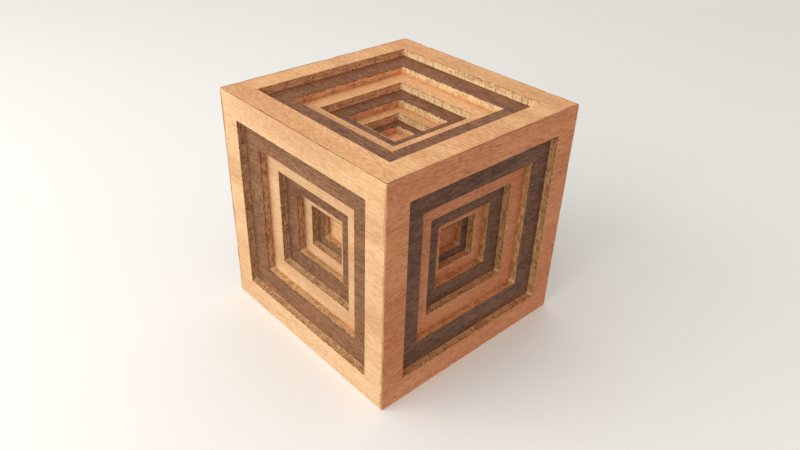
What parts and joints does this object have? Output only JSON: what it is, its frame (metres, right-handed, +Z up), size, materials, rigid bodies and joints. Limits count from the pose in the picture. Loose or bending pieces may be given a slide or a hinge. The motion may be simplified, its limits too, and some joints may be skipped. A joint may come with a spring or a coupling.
{
  "type": "puzzle box",
  "caption": "Wooden cube box whose faces step down through alternating light and dark square frames; the floor of the lid's pit turns to lock the lift-off lid.",
  "frame": {"origin": "middle of the bottom face, on the surface that the box stands on", "axes": "+Z up through the lid, the front panel faces -Y and the right panel faces +X"},
  "size_m": [0.076, 0.076, 0.076],
  "materials": {
    "beech_board": "thin board with a sanded pinkish beech face and a tan fibrous sawn edge",
    "walnut_board": "thin board with a dark brown walnut face and a tan fibrous sawn edge",
    "birch_ply": "plain pale plywood, unsanded edges",
    "solid_beech": "plain sanded beech",
    "brass": "cut rod, satin",
    "steel": "zinc plated"
  },
  "bodies": {
    "box": {"front_frame_1": "beech_board", "front_frame_2": "walnut_board", "front_frame_3": "beech_board", "front_frame_4": "walnut_board", "front_frame_5": "beech_board", "front_frame_6": "walnut_board", "front_floor": "beech_board", "right_frame_1": "beech_board", "right_frame_2": "walnut_board", "right_frame_3": "beech_board", "right_frame_4": "walnut_board", "right_frame_5": "beech_board", "right_frame_6": "walnut_board", "right_floor": "beech_board", "back_frame_1": "beech_board", "back_frame_2": "walnut_board", "back_frame_3": "beech_board", "back_frame_4": "walnut_board", "back_frame_5": "beech_board", "back_frame_6": "walnut_board", "back_floor": "beech_board", "left_frame_1": "beech_board", "left_frame_2": "walnut_board", "left_frame_3": "beech_board", "left_frame_4": "walnut_board", "left_frame_5": "beech_board", "left_frame_6": "walnut_board", "left_floor": "beech_board", "bottom_frame_1": "beech_board", "bottom_frame_2": "walnut_board", "bottom_frame_3": "beech_board", "bottom_frame_4": "walnut_board", "bottom_frame_5": "beech_board", "bottom_frame_6": "walnut_board", "bottom_floor": "beech_board"},
    "lid": {"lid_frame_1": "beech_board", "lid_frame_2": "walnut_board", "lid_frame_3": "beech_board", "lid_frame_4": "walnut_board", "lid_frame_5": "beech_board", "lid_frame_6": "walnut_board", "lid_floor": "beech_board", "bolt_guide": "birch_ply", "guide_cover": "birch_ply", "cover_screws": "steel"},
    "rotor": {"turn_knob": "beech_board", "cam_disc": "birch_ply", "knob_screw": "steel"},
    "bolt_front": {"bolt_front": "solid_beech", "follower_pin_front": "brass"},
    "bolt_right": {"bolt_right": "solid_beech", "follower_pin_right": "brass"},
    "bolt_back": {"bolt_back": "solid_beech", "follower_pin_back": "brass"},
    "bolt_left": {"bolt_left": "solid_beech", "follower_pin_left": "brass"}
  },
  "joints": [
    {"name": "lid_lift", "type": "slide", "parent": "box", "child": "lid", "axis": [0, 0, 1], "range_m": [0, 0.05]},
    {"name": "knob_turn", "type": "hinge", "parent": "lid", "child": "rotor", "pos_m": [0, 0, 0.061], "axis": [0, 0, 1], "range_deg": [0, 60]},
    {"name": "bolt_front_slide", "type": "slide", "parent": "lid", "child": "bolt_front", "axis": [0, -1, 0], "range_m": [0, 0.0025]},
    {"name": "bolt_right_slide", "type": "slide", "parent": "lid", "child": "bolt_right", "axis": [1, 0, 0], "range_m": [0, 0.0025]},
    {"name": "bolt_back_slide", "type": "slide", "parent": "lid", "child": "bolt_back", "axis": [0, 1, 0], "range_m": [0, 0.0025]},
    {"name": "bolt_left_slide", "type": "slide", "parent": "lid", "child": "bolt_left", "axis": [-1, 0, 0], "range_m": [0, 0.0025]}
  ],
  "couplings": [
    {"joint": "bolt_front_slide", "follows": "knob_turn", "m_per_rad": 0.0023873},
    {"joint": "bolt_right_slide", "follows": "knob_turn", "m_per_rad": 0.0023873},
    {"joint": "bolt_back_slide", "follows": "knob_turn", "m_per_rad": 0.0023873},
    {"joint": "bolt_left_slide", "follows": "knob_turn", "m_per_rad": 0.0023873}
  ]
}
